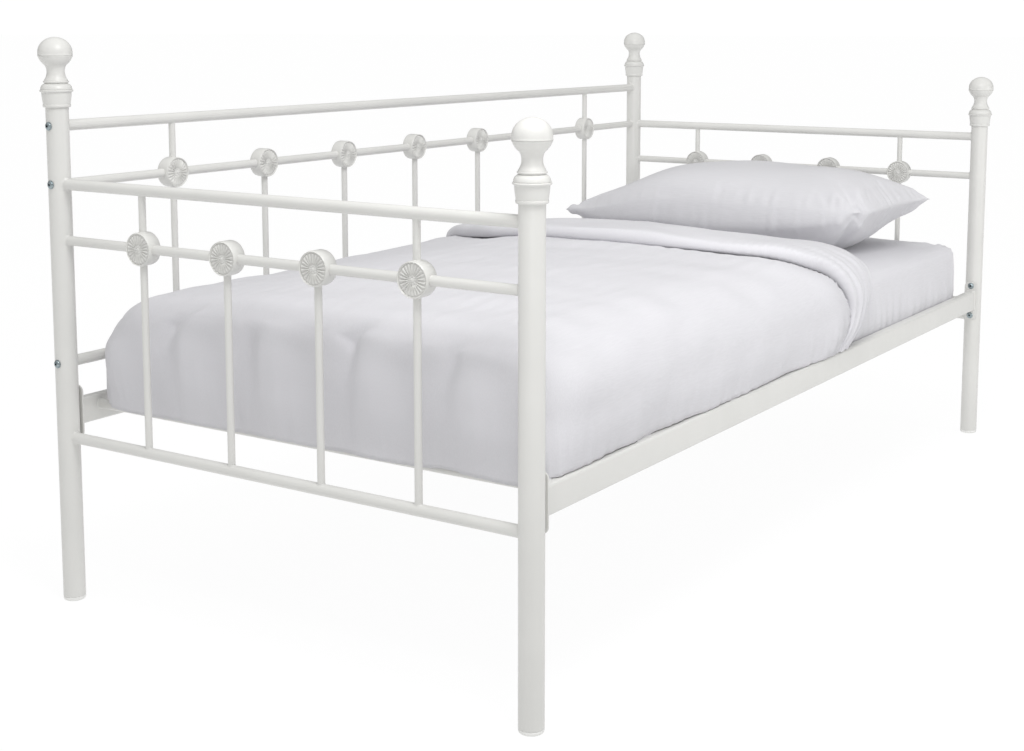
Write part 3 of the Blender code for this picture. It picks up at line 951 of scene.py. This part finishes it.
def make_band(fabric):
    """The band: the duvet's head end folded back over itself, from its hem round to the mattress."""
    back_end = -(SKIN_HIGH[1] + DUVET_TOP - BAND_END_Z)
    front_end = -SKIN_LOW[1] + DUVET_TOP - BAND_END_Z
    s = np.linspace(back_end, front_end, 420)
    hem, fold = eased(hem_line(s)), eased(fold_line(s))
    at_hem = smooth(np.abs(s), 0.54, 0.68)  # 1 at the band's two ends
    thick = np.interp(s, (-0.30, 0.0, 0.17, 0.36, 0.52), (0.043, 0.042, 0.035, 0.030, 0.016))
    thick *= 1 - 0.45 * at_hem  # half the roll at the fold
    roll = 0.0130 - 0.0045 * at_hem  # half the roll at the hem
    fall = np.interp(s, (-0.45, -0.25, 0.0, 0.17, 0.36, 0.60), (0.021, 0.011, 0.020, 0.033, 0.036, 0.019))
    half = np.where(s > 0, -SKIN_LOW[1], SKIN_HIGH[1])
    across = np.minimum(np.abs(s), half)
    drop = DUVET_TOP - (np.abs(s) - across)
    raw = np.stack([np.zeros_like(s), np.where(s > 0, -across, across), drop], axis=1)
    line = skin(raw)
    normal = np.cross(np.gradient(line, axis=0), (1.0, 0, 0))
    normal /= np.linalg.norm(normal, axis=1, keepdims=True)
    grid = []
    for stretch, t in band_columns():
        x, height, share = band_section(stretch, t, hem, fold, thick, roll, fall, at_hem)
        where = np.stack([x, raw[:, 1], raw[:, 2]], axis=1)
        fan, gather = band_wrinkles(s, (x - hem) / np.maximum(fold - hem, 0.02))
        soft = 0.0018 * ripple(where, (0.22, 0.30, 0.25), 21)
        soft += 0.0008 * ripple(where, (0.07, 0.12, 0.10), 22)
        move = height + share * (fan + soft) + gather
        place = line.copy()
        place[:, 0] = x
        grid.append(place + normal * move[:, None])
    points = np.concatenate(grid)
    points[:, 2] = np.maximum(points[:, 2], BAND_END_Z - 0.0015)
    count = len(s)
    faces = []
    for i in range(len(grid) - 1):
        for a in range(i * count, (i + 1) * count - 1):
            faces.append([a, a + 1, a + count + 1, a + count])
    make_cloth("duvet_band", points, faces, fabric, 0.004)


EDGE_DROP = 0.008  # how much lower than in CAD the mattress's upper edge lies
CROWN = 0.014  # and how much the middle stands over the edge


def make_mattress(fabric):
    """A mattress in a fitted sheet: a piped upper edge, a light crown, gathers at the corners and below."""
    # shorter than in CAD, to leave room for the duvet and the posts
    low = np.array(BED_LOW) + np.array((0.024, 0.0, 0.0))
    high = np.array(BED_HIGH) - np.array((0.014, 0.0, EDGE_DROP))
    raw, faces = block_grid(low, high, 0.009)
    points = wrap(raw, low, high, (0.065, 0.065, 0.004), (0.065, 0.065, 0.014))
    x, y, z = raw.T
    normals = normals_of(points, faces)
    top = smooth(z, high[2] - 0.008, high[2])
    bottom = 1 - smooth(z, low[2], low[2] + 0.02)
    under = z < low[2] + 0.001
    crown = CROWN * hump(y / 0.45) * hump(x / 1.02, 8) * top
    rise = (z - low[2]) / (high[2] - low[2])
    belly = (0.004 * np.sin(np.pi * rise) + 0.010 * np.clip(1 - rise, 0, 1) ** 1.5) * (1 - top)
    piping = 0.0016 * bell(points[:, 2], high[2] - 0.005, 0.0045)
    corner = smooth(np.abs(x), 0.80, 0.92) * smooth(np.abs(y), 0.30, 0.42)
    soft = 0.0020 * ripple(raw, (0.35, 0.35, 0.25), 31) + 0.0008 * ripple(raw, (0.12, 0.12, 0.12), 32)
    lower = 1 - smooth(rise, 0.15, 0.8)
    gather = ripple(raw, (0.026, 9.0, 0.20), 33) * smooth(np.abs(y), 0.40, 0.445)
    gather += ripple(raw, (9.0, 0.026, 0.20), 34) * smooth(np.abs(x), 0.90, 0.945)
    gathers = (0.0012 * lower + 0.0012 * corner) * gather * (1 - top)
    drawn = 0.0014 * corner * top * ripple(raw, (0.05, 0.05, 9.0), 35)
    move = crown + belly + piping + soft * (1 - bottom) * (1 - 0.5 * top) + gathers + drawn
    normals[:, 2] *= np.where(under, 0, 1)
    points = points + normals * move[:, None]
    points[:, 2] = np.maximum(points[:, 2], low[2])
    # below the side rails' tops, the hem reaches out to the rails
    at_side = (np.abs(y) > high[1] - 0.0005) * (1 - smooth(np.abs(x), 0.86, 0.92))
    hem = (z < RAIL_HIGH.z - 0.001) * at_side
    points[:, 1] += np.sign(y) * hem * np.maximum(RAIL_LOW.y - 0.001 - np.abs(points[:, 1]), 0.0)
    mesh = mesh_of("mattress_in_sheet", points, faces)
    piece = new_piece("mattress_in_sheet", mesh, fabric, "bedding", "sheet_cotton", "mattress")


PILLOW_SEAM = 0.582  # the seam's height
PILLOW_FLAT = (0.50, 0.90)  # the case before it is filled
SETTLE = 0.012  # the most that the simulation may move a point


def pillow_sheets(cell):
    """Two square-cornered sheets that share their border, as (u, v, side) from -1 to 1, and their quads."""
    across, along = (round(size / cell) for size in PILLOW_FLAT)
    index, faces = {}, []
    for side in (1, -1):
        for i in range(across):
            for j in range(along):
                quad = []
                for a, b in ((i, j), (i + 1, j), (i + 1, j + 1), (i, j + 1)):
                    border = a in (0, across) or b in (0, along)
                    quad.append(index.setdefault((a, b, 0 if border else side), len(index)))
                faces.append(quad if side > 0 else quad[::-1])
    return np.array([(2 * a / across - 1, 2 * b / along - 1, side) for a, b, side in index]), faces


def mattress_top(y):
    """The height of the crowned mattress under the pillow."""
    return BED_HIGH.z - EDGE_DROP + CROWN * hump(y / 0.45)


def seam_height(u, v):
    """The seam's height, which sinks towards the back corners."""
    return PILLOW_SEAM + 0.003 * u - 0.037 * smooth(v, 0.30, 1.0)


def filled_pillow(places):
    """The sheets' places when filled: drawn-in sides, a full middle, a flat underside."""
    u, v, side = places.T
    low, high = np.array(PILLOW_LOW), np.array(PILLOW_HIGH)
    centre, half = (low + high) / 2, (high - low) / 2 + 0.004
    x = u * half[0] * (1 - 0.085 * (1 - v**2) * np.abs(u) ** 2)
    # two corners are drawn in: the back one at the foot side, the front one at the head side
    x += 0.040 * smooth(v, 0.45, 1.0) * (1 - u) / 2 - 0.050 * smooth(-v, 0.45, 1.0) * (1 + u) / 2
    y = v * half[1] * (1 - 0.060 * (1 - u**2) * np.abs(v) ** 2)
    y += 0.014 * smooth(v, 0.55, 1.0) - 0.010 * smooth(-v, 0.7, 1.0) * (1 + u) / 2
    bulge = bell(u, -0.94, 0.05) * hump(v, 3)
    x -= 0.020 * bulge * (side < 0)  # the lower sheet stands out under the front seam
    x, y = x + centre[0], y + centre[1]
    across = hump(u, 2.3) ** 0.78
    pointed, full = hump(v, 2.2), hump(v, 5)
    above = np.where(v > 0, pointed**0.95, full**0.72)
    seam = seam_height(u, v)
    # the back corner at the foot side stays thick to its tip
    blunt = 0.015 * bell(v, 1, 0.06) * bell(u, -1, 0.11)
    top = seam + across * above * (high[2] - PILLOW_SEAM) + blunt
    steep = hump(u, 2.3) ** np.where(u < 0, 0.52, 0.70)
    under = seam - steep * pointed**0.90 * 0.145 - blunt
    # flat on the mattress, with a soft turn at the edge of the contact
    rest = mattress_top(y) + 0.0015
    soft = 0.006
    over = (under - rest) / soft
    under = rest + soft * np.logaddexp(0, over) - soft * math.log(2) * np.exp(-np.abs(over))
    return np.stack([x, y, np.where(side < 0, under, np.where(side > 0, top, seam))], axis=1)


def tuck_corner(points, places):
    """Pushes the front corner in, so the seam dips there between two full cheeks with radiating folds."""
    u, v, side = places.T
    away = np.sqrt(((u + 1) / 0.30) ** 2 + ((v + 1) / 0.17) ** 2)
    pull = np.exp(-(away**1.6))
    moved = points.copy()
    moved[:, 0] += 0.052 * pull
    moved[:, 1] += 0.048 * pull
    inward_x, inward_y = (u + 1) * PILLOW_FLAT[0] / 2, (v + 1) * PILLOW_FLAT[1] / 2
    along, aside = (inward_x + inward_y) / math.sqrt(2), (inward_x - inward_y) / math.sqrt(2)
    reach = smooth(along, 0.0, 0.025) * bell(along, 0, 0.105)
    cheeks = 0.009 * (bell(aside, 0.042, 0.020) + bell(aside, -0.044, 0.022)) * reach
    folds = 0.0050 * np.sin(aside * 2 * math.pi / 0.030 + 0.8) * reach * smooth(np.abs(aside), 0.05, 0.08)
    deep = bell(aside, 0.0, 0.017) * bell(along, 0, 0.12)
    over_seam = points[:, 2] - seam_height(u, v)
    moved[:, 2] += (cheeks + folds) * np.sign(side) - 0.62 * deep * over_seam
    return moved


def seam_puckers(points, places, faces):
    """Small pleats square to the seam, dying away from it."""
    u, v, side = places.T
    from_long = (1 - np.abs(u)) * PILLOW_FLAT[0] / 2
    from_short = (1 - np.abs(v)) * PILLOW_FLAT[1] / 2
    along_long = ripple(np.stack([v * 0.45, u, side], axis=1), (0.030, 90.0, 7.0), 41)
    along_short = ripple(np.stack([u * 0.25, v, side], axis=1), (0.026, 90.0, 7.0), 42)
    start = smooth(np.minimum(from_long, from_short), 0.0, 0.012)
    patchy = 0.5 + 0.5 * smooth(ripple(points, (0.11, 0.11, 0.11), 44), -0.6, 0.9)
    pleats = along_long * np.exp(-from_long / 0.024) + along_short * np.exp(-from_short / 0.026)
    inside = smooth(np.minimum(from_long, from_short), 0.0, 0.06)
    soft = 0.0022 * ripple(points, (0.20, 0.24, 0.30), 43) * inside
    move = 0.0028 * start * pleats * patchy + soft
    return points + normals_of(points, faces) * move[:, None]


def volume_of(mesh):
    shape = bmesh.new()
    shape.from_mesh(mesh)
    volume = abs(shape.calc_volume())
    shape.free()
    return volume


def inflate(points, places, faces, frames):
    """The pillow after a short cloth simulation, whose cloth is the flat case and whose start is points."""
    mesh = mesh_of("pillow_start", points, faces)
    holder = add_object("pillow_start", mesh)
    holder.shape_key_add(name="Basis")
    flat = holder.shape_key_add(name="flat")
    for place, point in zip(places, flat.data):
        point.co = (place[0] * PILLOW_FLAT[0] / 2, place[1] * PILLOW_FLAT[1] / 2, 0.0)
    flat.value = 0.0
    cloth = holder.modifiers.new("cloth", "CLOTH").settings
    cloth.rest_shape_key = flat
    cloth.quality = 6
    cloth.mass = 0.25
    cloth.tension_stiffness = 20
    cloth.compression_stiffness = 20
    cloth.shear_stiffness = 8
    cloth.bending_stiffness = 0.20
    cloth.tension_damping = 12
    cloth.compression_damping = 12
    cloth.air_damping = 3
    cloth.use_pressure = True
    cloth.uniform_pressure_force = 3.0
    cloth.use_pressure_volume = True
    cloth.target_volume = volume_of(mesh)
    cloth.effector_weights.gravity = 0.0
    scene = bpy.context.scene
    scene.frame_start, scene.frame_end = 1, frames
    for number in range(1, frames + 1):
        scene.frame_set(number)
    graph = bpy.context.evaluated_depsgraph_get()
    result = holder.evaluated_get(graph).data
    settled = np.array([v.co for v in result.vertices])
    bpy.data.objects.remove(holder)
    scene.frame_set(1)
    return settled


def make_pillow(fabric):
    """A filled pillow in its case, settled onto the mattress, with a seam all round."""
    places, faces = pillow_sheets(0.009)
    start = filled_pillow(places)
    settled = inflate(start, places, faces, 20)
    move = settled - start
    length = np.linalg.norm(move, axis=1, keepdims=True)
    points = start + move * np.minimum(1.0, SETTLE / np.maximum(length, 1e-9))
    points = seam_puckers(tuck_corner(points, places), places, faces)
    points[:, 2] = np.maximum(points[:, 2], mattress_top(points[:, 1]) + 0.001)
    # the part over the seam is pressed down if it stands more than 3 mm over CAD's pillow
    flatten = min(1.0, (PILLOW_HIGH.z + 0.003 - PILLOW_SEAM) / (points[:, 2].max() - PILLOW_SEAM))
    pressed = PILLOW_SEAM + (points[:, 2] - PILLOW_SEAM) * flatten
    points[:, 2] = np.where(points[:, 2] > PILLOW_SEAM, pressed, points[:, 2])
    mesh = mesh_of("pillow_in_case", points, faces)
    on_seam = places[:, 2] == 0
    crease = mesh.attributes.new("crease_edge", "FLOAT", "EDGE")
    for edge, value in zip(mesh.edges, crease.data):
        value.value = 0.9 if on_seam[edge.vertices[0]] and on_seam[edge.vertices[1]] else 0.0
    piece = new_piece("pillow_in_case", mesh, fabric, "pillow", "pillow_cotton", "pillow")
    detail = piece.modifiers.new("smooth", "SUBSURF")
    detail.levels = detail.render_levels = 1


# ---- the whole bed

make_camera()
# the fourth material is painted shade for the bolts' socket insides
PAINT, PLASTIC, METAL, SOCKET_SHADE = powder_coat(), white_plastic(), zinc(), socket_painted_shade()
SHEET = cotton("sheet_cotton", (0.650, 0.645, 0.670), "x")
COVER = cotton("duvet_cotton", (0.632, 0.627, 0.652), "x")
CASE = cotton("pillow_cotton", (0.606, 0.602, 0.623), "y")
make_stage()
make_posts(PAINT, PLASTIC)
make_rails(PAINT)
make_spindles(PAINT)
make_side_rails(PAINT)
make_bolts(METAL, SOCKET_SHADE)
make_deck(PAINT)
make_mattress(SHEET)
make_duvet(COVER)
make_band(COVER)
make_pillow(CASE)
